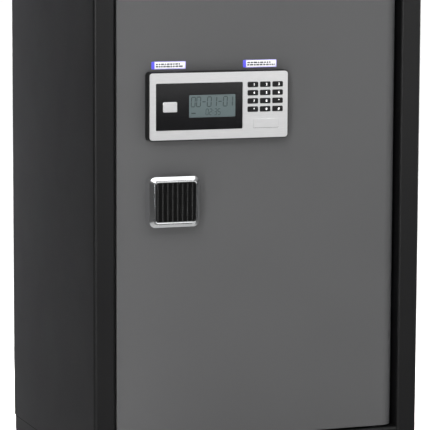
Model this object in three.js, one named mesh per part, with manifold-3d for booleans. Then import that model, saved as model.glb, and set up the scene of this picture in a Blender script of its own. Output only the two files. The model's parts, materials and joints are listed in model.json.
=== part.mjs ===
// Gun safe: a floor-standing steel cabinet with one flush door, an electronic lock panel and a square
// turn handle.
// Millimetres, +Z up. The door faces -Y and is hinged on its +X side.
// The origin is on the floor, under the middle of the whole object.

import * as THREE from "three";
import { mergeVertices } from "three/addons/utils/BufferGeometryUtils.js";
import Module from "manifold-3d";

// ---------- Driving dimensions ----------

// Cabinet
const BODY_WIDTH = 480;
const BODY_DEPTH = 400;
const BODY_HEIGHT = 1200;
const PLINTH_HEIGHT = 50;
const HANDLE_PROUD = 22; // how far the handle stands in front of the cabinet's frame
const SHEET = 3; // cabinet sheet steel
const FRAME_FACE = 30; // width of the frame round the door, and depth of its return
const OUTER_BEND = 5;
const INNER_BEND = 4;
const FIT = 0.3; // gap between pieces that rest against each other

// Door
const DOOR_SINK = 3; // the door's face lies this far behind the frame
const DOOR_GAP = 3;
const DOOR_PLATE = 6;
const DOOR_RIM = 4; // thickness of the door pan's rim
const DOOR_PAN = 20; // depth of the door pan, and radius of its hinge edge
const BOX_WALL = 3; // sheet of the bolt box behind the door
const BOX_DEPTH = 53;
const BOX_INSET = { latch: 21, hinge: 14, ends: 22 }; // from the door's edges, or the hinge's axis
const COVER_SHEET = 2;

// Hinge
const PIN_RADIUS = 5;
const PIN_COLLAR = 9;
const PIN_LENGTH = 30;
const PIN_REACH = 10; // how much of the pin stands in the frame, past its lip
const RUNNING = 0.3; // radial clearance of turning and sliding pieces

// Boltwork
const THROW = 26; // travel of every bolt, and radius of the cam's pins
const BOLT_RADIUS = 10;
const ROD_BOLT_RADIUS = 8;
const BOLT_LAYER = 39; // depth of the bolts' axes behind the door's face
const CAM_RADIUS = 32;
const CAM_PIN = 4;
const SIDE_BOLT_HEIGHTS = { lower: 300, middle: 700, upper: 1000 };
const FIXED_BOLT_HEIGHTS = { lower: 250, middle: 650, upper: 1050 };

// Handle
const HANDLE_X = -130.8;
const HANDLE_Z = 416.3;
const HANDLE_BASE = [72.5, 70];
const HANDLE_RADIUS = 11;
const HANDLE_TAPER = 4;
const HANDLE_CHAMFER = 3.5;
const SHAFT_RADIUS = 7;

// Lock panel, with the places of its fittings measured from its centre
const PANEL_X = -65.6;
const PANEL_Z = 545.2;
const PANEL_SIZE = [199.4, 90.5];
const PANEL_CORNER = 4;
const HOUSING_MARGIN = 1.5;
const HOUSING_DEPTH = 13;
const PLATE_SHEET = 1.7;
const WINDOW = { x: -28.5, z: -0.5, width: 124.2, height: 63.2, corner: 1.2 };
const DISPLAY = { x: -9.8, z: -0.4, width: 66.8, height: 30.4, corner: 1 };
const ENTER = { x: -70.9, z: -0.7, width: 20.4, height: 14, corner: 2 };
const OVERRIDE = { x: 67.5, z: -25.6, width: 36.7, height: 12.1, corner: 1.5 };
const KEY = { x: 48.6, z: 27.4, width: 14.8, height: 7, corner: 1.2 };
const KEY_PITCH = [18.1, 11.2];
const KEY_ROWS = [
  ["1", "2", "3"],
  ["4", "5", "6"],
  ["7", "8", "9"],
  ["star", "0", "hash"],
];
const KEY_PROUD = 1.6;

// Inside
const LINING = 3.7;
const INTERIOR_FRONT = 81; // fittings start this far behind the door's face, clear of the hinge bolts' swing
const DIVIDER_X = 58.5;
const SHELF_SHEET = 2;
const SHELF_FLANGE = 18;
const SHELF_HEIGHTS = { lower: 350, middle: 650, upper: 950 };
const RACK = { z: 900, thickness: 25, depth: 54, notches: 4, width: 34, reach: 40 };

// ---------- Derived positions ----------

const HALF_WIDTH = BODY_WIDTH / 2;
const FRONT = (HANDLE_PROUD - BODY_DEPTH) / 2;
const BACK = FRONT + BODY_DEPTH;
const BODY_MIDDLE = PLINTH_HEIGHT + BODY_HEIGHT / 2;
const BODY_TOP = PLINTH_HEIGHT + BODY_HEIGHT;
const DOOR_FACE = FRONT + DOOR_SINK;
const OPENING_HALF = HALF_WIDTH - FRAME_FACE;
const DOOR_LEFT = -OPENING_HALF + DOOR_GAP;
const DOOR_BOTTOM = PLINTH_HEIGHT + FRAME_FACE + DOOR_GAP;
const DOOR_TOP = BODY_TOP - FRAME_FACE - DOOR_GAP;
const PIVOT_X = OPENING_HALF - DOOR_GAP - DOOR_PAN;
const PIVOT_Y = DOOR_FACE + DOOR_PAN;
const BOX_LEFT = DOOR_LEFT + BOX_INSET.latch;
const BOX_RIGHT = PIVOT_X - BOX_INSET.hinge;
const BOX_BOTTOM = DOOR_BOTTOM + BOX_INSET.ends;
const BOX_TOP = DOOR_TOP - BOX_INSET.ends;
const BOLT_Y = DOOR_FACE + BOLT_LAYER;
const INNER_HALF = HALF_WIDTH - SHEET - FIT - LINING - FIT;
const LINING_FLOOR = PLINTH_HEIGHT + SHEET + FIT;
const LINING_TOP = BODY_TOP - SHEET - FIT;
const FLOOR_TOP = LINING_FLOOR + LINING;
const BACK_WALL = BACK - SHEET - FIT - LINING;

// ---------- Materials ----------

function finish(colour, roughness, metalness) {
  return new THREE.MeshStandardMaterial({ color: colour, roughness, metalness });
}

const MATERIALS = {
  cabinetPaint: finish(0x34353a, 0.5, 0.3),
  doorPaint: finish(0x636466, 0.5, 0.3),
  bareSteel: finish(0xa8abad, 0.35, 0.9),
  zincSteel: finish(0xb9b7a6, 0.4, 0.8),
  chrome: finish(0xd8dadc, 0.12, 1),
  silverPlate: finish(0xd3d4d6, 0.32, 0.8),
  blackPlastic: finish(0x17181a, 0.45, 0),
  glossBlack: finish(0x0c0d0f, 0.1, 0),
  displayGlass: finish(0x6d7a78, 0.2, 0),
  circuitGreen: finish(0x1f5a37, 0.5, 0),
  carpet: finish(0x3b3d42, 0.95, 0),
  brass: finish(0xb08d4a, 0.3, 0.9),
};

// ---------- Solids ----------

const wasm = await Module();
wasm.setup();

const MERGE_DISTANCE = 1e-4;
const ARC_STEPS = 3;
const ROUND_SIDES = 24;
const PAST = 1; // how far a cutting solid runs past the face it cuts

function toSolid(geometry) {
  const bare = geometry.index ? geometry.toNonIndexed() : geometry.clone();
  bare.deleteAttribute("normal");
  bare.deleteAttribute("uv");
  const merged = mergeVertices(bare, MERGE_DISTANCE);
  const vertProperties = merged.attributes.position.array;
  const triVerts = new Uint32Array(merged.index.array);
  return new wasm.Manifold(new wasm.Mesh({ numProp: 3, vertProperties, triVerts }));
}

function toGeometry(solid) {
  const mesh = solid.getMesh();
  const geometry = new THREE.BufferGeometry();
  geometry.setAttribute("position", new THREE.BufferAttribute(mesh.vertProperties, 3));
  geometry.setIndex(new THREE.BufferAttribute(mesh.triVerts, 1));
  geometry.computeVertexNormals();
  return geometry;
}

function join(first, ...others) {
  return others.reduce((whole, piece) => whole.add(piece), first);
}

function cut(first, ...others) {
  return others.reduce((whole, piece) => whole.subtract(piece), first);
}

// A box between two values on each axis.
function block([x0, x1], [y0, y1], [z0, z1]) {
  const box = new THREE.BoxGeometry(x1 - x0, y1 - y0, z1 - z0);
  return toSolid(box.translate((x0 + x1) / 2, (y0 + y1) / 2, (z0 + z1) / 2));
}

// A round bar along one axis. The centre gives the two other coordinates, in X, Y, Z order.
function roundBar(axis, radius, [from, to], [first, second]) {
  const bar = new THREE.CylinderGeometry(radius, radius, to - from, ROUND_SIDES);
  const middle = (from + to) / 2;
  if (axis === "X") return toSolid(bar.rotateZ(Math.PI / 2).translate(middle, first, second));
  if (axis === "Y") return toSolid(bar.translate(first, middle, second));
  return toSolid(bar.rotateX(Math.PI / 2).translate(first, second, middle));
}

// The outline is drawn in the two axes other than the one it is extruded along, in X, Y, Z order.
function extrude(outline, axis, [from, to]) {
  const geometry = new THREE.ExtrudeGeometry(outline, {
    depth: to - from,
    bevelEnabled: false,
    curveSegments: ARC_STEPS,
  });
  const turned = new THREE.Matrix4();
  const [alongX, alongY, alongZ] = ["X", "Y", "Z"].map(
    (name) => new THREE.Vector3(Number(name === "X"), Number(name === "Y"), Number(name === "Z")),
  );
  if (axis === "X") turned.makeBasis(alongY, alongZ, alongX).setPosition(from, 0, 0);
  if (axis === "Y") turned.makeBasis(alongX, alongZ, alongY.clone().negate()).setPosition(0, to, 0);
  if (axis === "Z") turned.setPosition(0, 0, from);
  return toSolid(geometry.applyMatrix4(turned));
}

function roundedRectangle(centreX, centreY, width, height, radius) {
  const [left, right] = [centreX - width / 2, centreX + width / 2];
  const [bottom, top] = [centreY - height / 2, centreY + height / 2];
  const shape = new THREE.Shape();
  shape.moveTo(left + radius, bottom);
  shape.absarc(right - radius, bottom + radius, radius, -Math.PI / 2, 0, false);
  shape.absarc(right - radius, top - radius, radius, 0, Math.PI / 2, false);
  shape.absarc(left + radius, top - radius, radius, Math.PI / 2, Math.PI, false);
  shape.absarc(left + radius, bottom + radius, radius, Math.PI, 1.5 * Math.PI, false);
  return shape;
}

const safe = new THREE.Group();

function add(name, material, solid, parent = safe) {
  const mesh = new THREE.Mesh(toGeometry(solid), MATERIALS[material]);
  mesh.name = name;
  parent.add(mesh);
  return mesh;
}

// ---------- Cabinet ----------

// Section of a cabinet wall folded into the frame round the door.
// Its first coordinate runs inwards from the wall's outer face, and its second back from the frame's face.
function foldedWallOutline() {
  const shape = new THREE.Shape();
  const [inner, lip] = [OUTER_BEND - SHEET, INNER_BEND - SHEET];
  shape.moveTo(0, BODY_DEPTH);
  shape.lineTo(0, OUTER_BEND);
  shape.absarc(OUTER_BEND, OUTER_BEND, OUTER_BEND, Math.PI, 1.5 * Math.PI, false);
  shape.absarc(FRAME_FACE - INNER_BEND, INNER_BEND, INNER_BEND, -Math.PI / 2, 0, false);
  shape.lineTo(FRAME_FACE, FRAME_FACE);
  shape.lineTo(FRAME_FACE - SHEET, FRAME_FACE);
  shape.absarc(FRAME_FACE - INNER_BEND, INNER_BEND, lip, 0, -Math.PI / 2, true);
  shape.absarc(OUTER_BEND, OUTER_BEND, inner, 1.5 * Math.PI, Math.PI, true);
  shape.lineTo(SHEET, BODY_DEPTH);
  return shape;
}

// The walls are drawn about the cabinet's middle height, so each one turned half round makes the
// opposite one.
function sideWall() {
  const half = BODY_HEIGHT / 2;
  const wall = extrude(foldedWallOutline(), "Z", [-half, half]);
  const seats = [-1, 1].map((end) => {
    const height = [half - SHEET - FIT, half + PAST].map((z) => z * end).sort((a, b) => a - b);
    return block([SHEET + FIT / 2, FRAME_FACE + PAST], [SHEET + FIT / 2, FRAME_FACE + PAST], height);
  });
  return cut(wall, ...seats);
}

// Top or bottom wall, with its hinge pin hole at one side of the middle.
function endWall(pinSide) {
  const half = OPENING_HALF - FIT;
  const plateHalf = HALF_WIDTH - SHEET - FIT;
  const stepHalf = HALF_WIDTH - OUTER_BEND - FIT;
  const strip = extrude(foldedWallOutline(), "Z", [-half, half]);
  const plate = block([0, SHEET], [OUTER_BEND + FIT, BODY_DEPTH], [-plateHalf, plateHalf]);
  const step = block([0, SHEET], [SHEET + FIT, 2 * OUTER_BEND], [-stepHalf, stepHalf]);
  const lip = [FRAME_FACE - SHEET - PAST, FRAME_FACE + PAST];
  const pinHole = roundBar("X", PIN_RADIUS + RUNNING, lip, [DOOR_SINK + DOOR_PAN, pinSide * PIVOT_X]);
  return cut(join(strip, plate, step), pinHole);
}

function addCabinetWalls() {
  const side = sideWall();
  add("left_side_panel", "cabinetPaint", side).position.set(-HALF_WIDTH, FRONT, BODY_MIDDLE);
  const right = add("right_side_panel", "cabinetPaint", side);
  right.position.set(HALF_WIDTH, FRONT, BODY_MIDDLE);
  right.rotation.y = Math.PI;
  const top = add("top_panel", "cabinetPaint", endWall(1));
  top.position.set(0, FRONT, BODY_TOP);
  top.rotation.y = Math.PI / 2;
  const bottom = add("bottom_panel", "cabinetPaint", endWall(-1));
  bottom.position.set(0, FRONT, PLINTH_HEIGHT);
  bottom.rotation.y = -Math.PI / 2;
  const within = HALF_WIDTH - SHEET - FIT;
  const back = block([-within, within], [BACK - SHEET, BACK], [LINING_FLOOR, LINING_TOP]);
  add("back_panel", "cabinetPaint", back);
}

// A ring of sheet steel with a foot turned inwards along the floor.
function addPlinth() {
  const inset = 1;
  const foot = 20;
  const [outerX, frontY, backY] = [HALF_WIDTH - inset, FRONT + inset, BACK - inset];
  const top = PLINTH_HEIGHT - FIT;
  const bodyOfPlinth = block([-outerX, outerX], [frontY, backY], [0, top]);
  const above = block(
    [-outerX + SHEET, outerX - SHEET],
    [frontY + SHEET, backY - SHEET],
    [SHEET, top + PAST],
  );
  const opening = block([-outerX + foot, outerX - foot], [frontY + foot, backY - foot], [-PAST, top]);
  add("plinth_frame", "cabinetPaint", cut(bodyOfPlinth, above, opening));
}

// An angle strip inside the frame that the closed door comes to rest against.
function addDoorStop() {
  const leg = 2;
  const width = 10;
  const endClearance = 20;
  const seal = 1;
  const outer = -OPENING_HALF + FIT;
  const front = DOOR_FACE + DOOR_PAN + seal;
  const height = [DOOR_BOTTOM + endClearance, DOOR_TOP - endClearance];
  const face = block([outer, outer + width], [front, front + leg], height);
  const flange = block([outer, outer + leg], [front, FRONT + FRAME_FACE], height);
  add("door_stop_left", "cabinetPaint", join(face, flange));
}

// Each pin stands through the cabinet's lip and the door's cap. A collar fills the gap between them.
function addHingePins() {
  const ends = { top: [BODY_TOP - FRAME_FACE, 1], bottom: [PLINTH_HEIGHT + FRAME_FACE, -1] };
  for (const [name, [lip, outwards]] of Object.entries(ends)) {
    const upwards = (from, to) => [lip - outwards * from, lip + outwards * to].sort((a, b) => a - b);
    const span = upwards(PIN_LENGTH - PIN_REACH, PIN_REACH);
    const collar = upwards(DOOR_GAP - FIT, -FIT);
    const centre = [PIVOT_X, PIVOT_Y];
    const pin = join(roundBar("Z", PIN_RADIUS, span, centre), roundBar("Z", PIN_COLLAR, collar, centre));
    add("hinge_pin_" + name, "bareSteel", pin);
  }
}

// ---------- Inside ----------

function addLinings() {
  const wall = HALF_WIDTH - SHEET - FIT;
  const behindFrame = FRONT + FRAME_FACE + PAST;
  const height = [LINING_FLOOR, LINING_TOP];
  const sideDepth = [behindFrame, BACK_WALL - FIT];
  add("left_liner", "carpet", block([-wall, -wall + LINING], sideDepth, height));
  add("right_liner", "carpet", block([wall - LINING, wall], sideDepth, height));
  add("back_liner", "carpet", block([-wall, wall], [BACK_WALL, BACK - SHEET - FIT], height));
  const floor = block([-INNER_HALF, INNER_HALF], sideDepth, [LINING_FLOOR, FLOOR_TOP]);
  add("floor_mat", "carpet", floor);
}

function addShelves() {
  const depth = [DOOR_FACE + INTERIOR_FRONT, BACK_WALL - FIT];
  const divider = block([DIVIDER_X, DIVIDER_X + SHELF_SHEET], depth, [FLOOR_TOP + FIT, LINING_TOP]);
  add("divider_panel", "cabinetPaint", divider);
  const width = [DIVIDER_X + SHELF_SHEET + FIT, INNER_HALF];
  for (const [name, z] of Object.entries(SHELF_HEIGHTS)) {
    const sheet = block(width, depth, [z, z + SHELF_SHEET]);
    const flange = block(width, [depth[0], depth[0] + SHELF_SHEET], [z - SHELF_FLANGE, z + SHELF_SHEET]);
    add("shelf_" + name, "cabinetPaint", join(sheet, flange));
  }
}

// A padded bar with round-bottomed notches that hold the barrels upright.
function addBarrelRack() {
  const back = BACK_WALL - FIT;
  const front = back - RACK.depth;
  const [left, right] = [-INNER_HALF, DIVIDER_X - FIT];
  const height = [RACK.z, RACK.z + RACK.thickness];
  const past = [RACK.z - PAST, RACK.z + RACK.thickness + PAST];
  const pitch = (right - left) / RACK.notches;
  const notches = Array.from({ length: RACK.notches }, (_, index) => {
    const middle = left + (index + 0.5) * pitch;
    const half = RACK.width / 2;
    const shape = new THREE.Shape();
    shape.moveTo(middle + half, front - PAST);
    shape.lineTo(middle + half, front + RACK.reach - half);
    shape.absarc(middle, front + RACK.reach - half, half, 0, Math.PI, false);
    shape.lineTo(middle - half, front - PAST);
    return extrude(shape, "Z", past);
  });
  add("barrel_rack", "carpet", cut(block([left, right], [front, back], height), ...notches));
}

// ---------- Door ----------

const door = new THREE.Group();
safe.add(door);

// A depth behind the door's face, as a Y coordinate.
const behind = (...depths) => depths.map((depth) => DOOR_FACE + depth);

function doorOutline(inset, backDepth) {
  const shape = new THREE.Shape();
  const front = DOOR_FACE + (inset ? DOOR_PLATE : 0);
  const radius = PIVOT_Y - front;
  shape.moveTo(DOOR_LEFT + inset, front);
  shape.lineTo(PIVOT_X, front);
  shape.absarc(PIVOT_X, PIVOT_Y, radius, -Math.PI / 2, 0, false);
  if (backDepth > DOOR_PAN) shape.lineTo(PIVOT_X + radius, DOOR_FACE + backDepth);
  shape.lineTo(DOOR_LEFT + inset, DOOR_FACE + backDepth);
  return shape;
}

// A pan of heavy plate, open at the back, whose hinge edge is rounded about the hinge's axis.
function addDoorSkin() {
  const pan = extrude(doorOutline(0, DOOR_PAN), "Z", [DOOR_BOTTOM, DOOR_TOP]);
  const hollow = extrude(doorOutline(DOOR_RIM, DOOR_PAN + PAST), "Z", [
    DOOR_BOTTOM + DOOR_RIM,
    DOOR_TOP - DOOR_RIM,
  ]);
  const bossHeight = 18;
  const pivot = [PIVOT_X, PIVOT_Y];
  const bosses = [
    roundBar("Z", PIN_COLLAR, [DOOR_TOP - bossHeight, DOOR_TOP], pivot),
    roundBar("Z", PIN_COLLAR, [DOOR_BOTTOM, DOOR_BOTTOM + bossHeight], pivot),
  ];
  const bores = [
    roundBar("Z", PIN_RADIUS + RUNNING, [DOOR_TOP - bossHeight - PAST, DOOR_TOP + PAST], pivot),
    roundBar("Z", PIN_RADIUS + RUNNING, [DOOR_BOTTOM - PAST, DOOR_BOTTOM + bossHeight + PAST], pivot),
  ];
  const through = behind(-PAST, DOOR_PLATE + PAST);
  const cableHole = 8;
  const holes = [
    roundBar("Y", SHAFT_RADIUS + 2 * RUNNING, through, [HANDLE_X, HANDLE_Z]),
    roundBar("Y", OVERRIDE_BODY + RUNNING, through, [PANEL_X + OVERRIDE.x, PANEL_Z + OVERRIDE.z]),
    roundBar("Y", cableHole, through, [PANEL_X, PANEL_Z]),
  ];
  add("door_skin", "doorPaint", cut(join(cut(pan, hollow), ...bosses), ...bores, ...holes), door);
}

// Four walls that guide the bolts, closed at the back by the inner cover.
function addBoltBox() {
  const depth = behind(DOOR_PLATE + FIT, BOX_DEPTH);
  const outer = block([BOX_LEFT, BOX_RIGHT], depth, [BOX_BOTTOM, BOX_TOP]);
  const inner = block(
    [BOX_LEFT + BOX_WALL, BOX_RIGHT - BOX_WALL],
    behind(0, BOX_DEPTH + PAST),
    [BOX_BOTTOM + BOX_WALL, BOX_TOP - BOX_WALL],
  );
  const sideHoles = Object.values(SIDE_BOLT_HEIGHTS).map((z) =>
    roundBar("X", BOLT_RADIUS + RUNNING, [BOX_LEFT - PAST, BOX_LEFT + BOX_WALL + PAST], [BOLT_Y, z]),
  );
  const fixedHoles = Object.values(FIXED_BOLT_HEIGHTS).map((z) =>
    roundBar("X", BOLT_RADIUS + RUNNING, [BOX_RIGHT - BOX_WALL - PAST, BOX_RIGHT + PAST], [BOLT_Y, z]),
  );
  const rodHoles = roundBar("Z", ROD_BOLT_RADIUS + RUNNING, [BOX_BOTTOM - PAST, BOX_TOP + PAST], [
    ROD_X,
    BOLT_Y,
  ]);
  add("bolt_box", "cabinetPaint", cut(outer, inner, ...sideHoles, ...fixedHoles, rodHoles), door);
}

// The inner cover closes the bolt box and carries the rails of the battery cover.
function addInnerCover() {
  const [front, back] = behind(BOX_DEPTH + FIT, BOX_DEPTH + FIT + COVER_SHEET);
  const sheet = block([BOX_LEFT, BOX_RIGHT], [front, back], [BOX_BOTTOM, BOX_TOP]);
  const { x, z, width, height } = BATTERY;
  const window = block(
    [x - width / 2 + 2 * COVER_SHEET, x + width / 2 - 2 * COVER_SHEET],
    [front - PAST, back + PAST],
    [z - height / 2 + 2 * COVER_SHEET, z + height / 2 - 2 * COVER_SHEET],
  );
  const grip = 3;
  const railHeight = [z - height / 2, z + height / 2 + BATTERY.travel];
  const rails = [-1, 1].flatMap((side) => {
    const inner = x + side * (BATTERY_COVER_HALF + RUNNING);
    const across = (a, b) => [inner + side * a, inner + side * b].sort((p, q) => p - q);
    const top = back + BATTERY.cover + 2 * RUNNING;
    const wall = block(across(0, COVER_SHEET), [back - PAST, top + COVER_SHEET], railHeight);
    const lip = block(across(-grip, COVER_SHEET), [top, top + COVER_SHEET], railHeight);
    return [wall, lip];
  });
  add("door_inner_cover", "cabinetPaint", join(cut(sheet, window), ...rails), door);
}

function addFixedBolts() {
  const root = 22;
  const reach = 12;
  const length = [BOX_RIGHT - root, OPENING_HALF + reach];
  for (const [name, z] of Object.entries(FIXED_BOLT_HEIGHTS)) {
    add("fixed_bolt_" + name, "bareSteel", roundBar("X", BOLT_RADIUS, length, [BOLT_Y, z]), door);
  }
}

// ---------- Lock panel ----------

const OVERRIDE_BODY = 8;
const OVERRIDE_PLUG = 5;
const PLATE_FRONT = -(HOUSING_DEPTH + FIT + PLATE_SHEET);
const BOARD_FRONT = -6.5;

// A fitting's outline on the panel, grown by a clearance.
function fittingOutline({ x, z, width, height, corner }, grow = 0) {
  return roundedRectangle(PANEL_X + x, PANEL_Z + z, width + 2 * grow, height + 2 * grow, corner + grow);
}

function fittingSolid(fitting, grow, ...depths) {
  return extrude(fittingOutline(fitting, grow), "Y", behind(...depths));
}

function keyFittings() {
  return KEY_ROWS.flatMap((row, rowIndex) =>
    row.map((label, column) => ({
      ...KEY,
      label,
      x: KEY.x + column * KEY_PITCH[0],
      z: KEY.z - rowIndex * KEY_PITCH[1],
    })),
  );
}

const PLATE = { x: 0, z: 0, width: PANEL_SIZE[0], height: PANEL_SIZE[1], corner: PANEL_CORNER };

// The small opening behind the blank cover, smaller than the cover's face.
const OVERRIDE_OPENING = {
  ...OVERRIDE,
  width: OVERRIDE.width - 2,
  height: OVERRIDE.height - 2,
  corner: 1,
};

function addHousing() {
  const wall = 3;
  const front = 2;
  const shell = fittingSolid(PLATE, HOUSING_MARGIN, -HOUSING_DEPTH, -FIT);
  const hollow = fittingSolid(PLATE, HOUSING_MARGIN - wall, front - HOUSING_DEPTH, PAST);
  const openings = [WINDOW, ...keyFittings()].map((fitting) =>
    fittingSolid(fitting, RUNNING, -HOUSING_DEPTH - PAST, front - HOUSING_DEPTH + PAST),
  );
  const lockHole = roundBar(
    "Y",
    OVERRIDE_BODY + RUNNING,
    behind(-HOUSING_DEPTH - PAST, 0),
    [PANEL_X + OVERRIDE.x, PANEL_Z + OVERRIDE.z],
  );
  add("panel_housing", "blackPlastic", cut(shell, hollow, ...openings, lockHole), door);
}

function addPlate() {
  const plate = fittingSolid(PLATE, 0, PLATE_FRONT, PLATE_FRONT + PLATE_SHEET);
  const openings = [WINDOW, OVERRIDE_OPENING, ...keyFittings()].map((fitting) =>
    fittingSolid(fitting, RUNNING, PLATE_FRONT - PAST, PLATE_FRONT + PLATE_SHEET + PAST),
  );
  add("panel_plate", "silverPlate", cut(plate, ...openings), door);
}

function addDisplay() {
  const recess = 0.4;
  const thickness = 4;
  const windowFront = PLATE_FRONT + recess;
  const windowBack = windowFront + thickness;
  const pane = fittingSolid(WINDOW, 0, windowFront, windowBack);
  const openings = [DISPLAY, ENTER].map((fitting) =>
    fittingSolid(fitting, RUNNING, windowFront - PAST, windowBack + PAST),
  );
  add("display_window", "glossBlack", cut(pane, ...openings), door);
  const screen = fittingSolid(DISPLAY, 0, windowFront + recess + FIT / 3, BOARD_FRONT - FIT);
  add("lcd_module", "displayGlass", screen, door);
  const boardInset = -4;
  const boardThickness = 1.6;
  const board = fittingSolid(PLATE, boardInset, BOARD_FRONT, BOARD_FRONT + boardThickness);
  const lockHole = roundBar("Y", OVERRIDE_BODY + RUNNING, behind(BOARD_FRONT - PAST, 0), [
    PANEL_X + OVERRIDE.x,
    PANEL_Z + OVERRIDE.z,
  ]);
  add("circuit_board", "circuitGreen", cut(board, lockHole), door);
}

function addKeys() {
  const stemBack = -8;
  const enterProud = 1.4;
  for (const fitting of keyFittings()) {
    const key = fittingSolid(fitting, 0, PLATE_FRONT - KEY_PROUD, stemBack);
    add("key_" + fitting.label, "blackPlastic", key, door);
  }
  add("enter_button", "silverPlate", fittingSolid(ENTER, 0, PLATE_FRONT - enterProud, stemBack), door);
}

// A key-operated lock behind a blank cover, for when the batteries are flat.
function addOverrideLock() {
  const centre = [PANEL_X + OVERRIDE.x, PANEL_Z + OVERRIDE.z];
  const clearance = 0.5;
  const front = PLATE_FRONT + PLATE_SHEET + clearance;
  const back = 25;
  const plugSink = 0.2;
  const keywaySize = { half: 0.8, halfHeight: 3.2, depth: 10 };
  const body = roundBar("Y", OVERRIDE_BODY, behind(front, back), centre);
  const bore = roundBar("Y", OVERRIDE_PLUG + RUNNING, behind(front - PAST, back + PAST), centre);
  add("override_lock_body", "brass", cut(body, bore), door);
  const plug = roundBar("Y", OVERRIDE_PLUG, behind(front + plugSink, back), centre);
  const keyway = block(
    [centre[0] - keywaySize.half, centre[0] + keywaySize.half],
    behind(front - PAST, front + keywaySize.depth),
    [centre[1] - keywaySize.halfHeight, centre[1] + keywaySize.halfHeight],
  );
  add("override_plug", "brass", cut(plug, keyway), door);
  const coverSheet = 0.8;
  const face = fittingSolid(OVERRIDE, 0, PLATE_FRONT - FIT - coverSheet, PLATE_FRONT - FIT);
  const clip = fittingSolid(OVERRIDE_OPENING, -RUNNING, PLATE_FRONT - FIT - PAST / 2, front - clearance);
  add("override_cover", "silverPlate", join(face, clip), door);
}

// ---------- Handle ----------

// A block whose four sides slope in towards the front, made from one half of a double bevel.
function taperedBlock(width, height, radius, slope, back, front) {
  const outline = roundedRectangle(0, 0, width - 2 * slope, height - 2 * slope, radius - slope);
  const length = back - front;
  const geometry = new THREE.ExtrudeGeometry(outline, {
    depth: PAST,
    bevelThickness: length,
    bevelSize: slope,
    bevelSegments: 1,
    curveSegments: ARC_STEPS,
  });
  geometry.rotateX(Math.PI / 2).translate(HANDLE_X, DOOR_FACE + back + PAST, HANDLE_Z);
  const past = behind(back, back + length + 2 * PAST);
  const waste = block([HANDLE_X - width, HANDLE_X + width], past, [HANDLE_Z - height, HANDLE_Z + height]);
  return cut(toSolid(geometry), waste);
}

function addHandle() {
  const doorClearance = 0.8;
  const back = -doorClearance;
  const front = -(HANDLE_PROUD + DOOR_SINK);
  const overlap = 0.2;
  const shoulder = front + HANDLE_CHAMFER;
  const [width, height] = HANDLE_BASE;
  const [frontWidth, frontHeight] = HANDLE_BASE.map((size) => size - 2 * HANDLE_TAPER);
  const frontRadius = HANDLE_RADIUS - HANDLE_TAPER;
  const lower = taperedBlock(width, height, HANDLE_RADIUS, HANDLE_TAPER, back, shoulder);
  const rim = taperedBlock(frontWidth, frontHeight, frontRadius, HANDLE_CHAMFER, shoulder + overlap, front);
  const insert = {
    x: HANDLE_X - PANEL_X,
    z: HANDLE_Z - PANEL_Z,
    width: frontWidth - 2 * HANDLE_CHAMFER - 1,
    height: frontHeight - 2 * HANDLE_CHAMFER - 1,
    corner: 3,
  };
  const pocketDepth = 4;
  const pocket = fittingSolid(insert, RUNNING, front - PAST, front + pocketDepth);
  const socketDepth = 11;
  const shaftFront = back - socketDepth;
  const centre = [HANDLE_X, HANDLE_Z];
  const socket = roundBar("Y", SHAFT_RADIUS + RUNNING, behind(shaftFront - FIT, back + PAST), centre);
  add("handle_frame", "chrome", cut(join(lower, rim), pocket, socket), door);
  const insertSink = 0.6;
  const grip = fittingSolid(insert, 0, front + insertSink, front + pocketDepth - FIT);
  add("handle_insert", "blackPlastic", grip, door);
  const shaft = roundBar("Y", SHAFT_RADIUS, behind(shaftFront, CAM.back + PAST), centre);
  add("handle_shaft", "bareSteel", shaft, door);
}

// ---------- Boltwork ----------

const CAM = { front: 22, back: 26 };
const ROD_LAYER = [30, 34];
const CARRIAGE_LAYER = [35, 39];
const ROD_X = HANDLE_X + 29.8;
const ROD_HALF = 10;
const SLOT_PLAY = 0.6;
const LOW_PIN = THROW * Math.sin(Math.PI / 6);
const FAR_PIN = THROW * Math.cos(Math.PI / 6);

// Three pins on the cam drive the bolts. Each one sweeps 60 degrees about the middle of its own quarter turn.
function addCam() {
  const centre = [HANDLE_X, HANDLE_Z];
  const hubSize = 6;
  const hub = roundBar("Y", SHAFT_RADIUS + hubSize, behind(CAM.front - hubSize, CAM.front + PAST), centre);
  const disc = roundBar("Y", CAM_RADIUS, behind(CAM.front, CAM.back), centre);
  const pin = (x, z, back) =>
    roundBar("Y", CAM_PIN, behind(CAM.back - PAST, back), [HANDLE_X + x, HANDLE_Z + z]);
  const rodPinBack = (ROD_LAYER[1] + CARRIAGE_LAYER[0]) / 2;
  const pins = [
    pin(LOW_PIN, FAR_PIN, CARRIAGE_LAYER[1] + PAST),
    pin(FAR_PIN, -LOW_PIN, rodPinBack),
    pin(-FAR_PIN, LOW_PIN, rodPinBack),
  ];
  const bore = roundBar("Y", SHAFT_RADIUS + RUNNING, behind(0, CAM.back + PAST), centre);
  add("cam_disc", "zincSteel", cut(join(disc, hub, ...pins), bore), door);
}

// A slot long enough for a pin that swings between two places either side of its furthest reach.
function pinSlot(axis, centreX, centreZ, layer) {
  const wide = 2 * (CAM_PIN + SLOT_PLAY);
  const long = wide + THROW - FAR_PIN + 2 * SLOT_PLAY;
  const [width, height] = axis === "X" ? [long, wide] : [wide, long];
  const outline = roundedRectangle(centreX, centreZ, width, height, wide / 2 - 0.01);
  return extrude(outline, "Y", behind(layer[0] - PAST, layer[1] + PAST));
}

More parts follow.
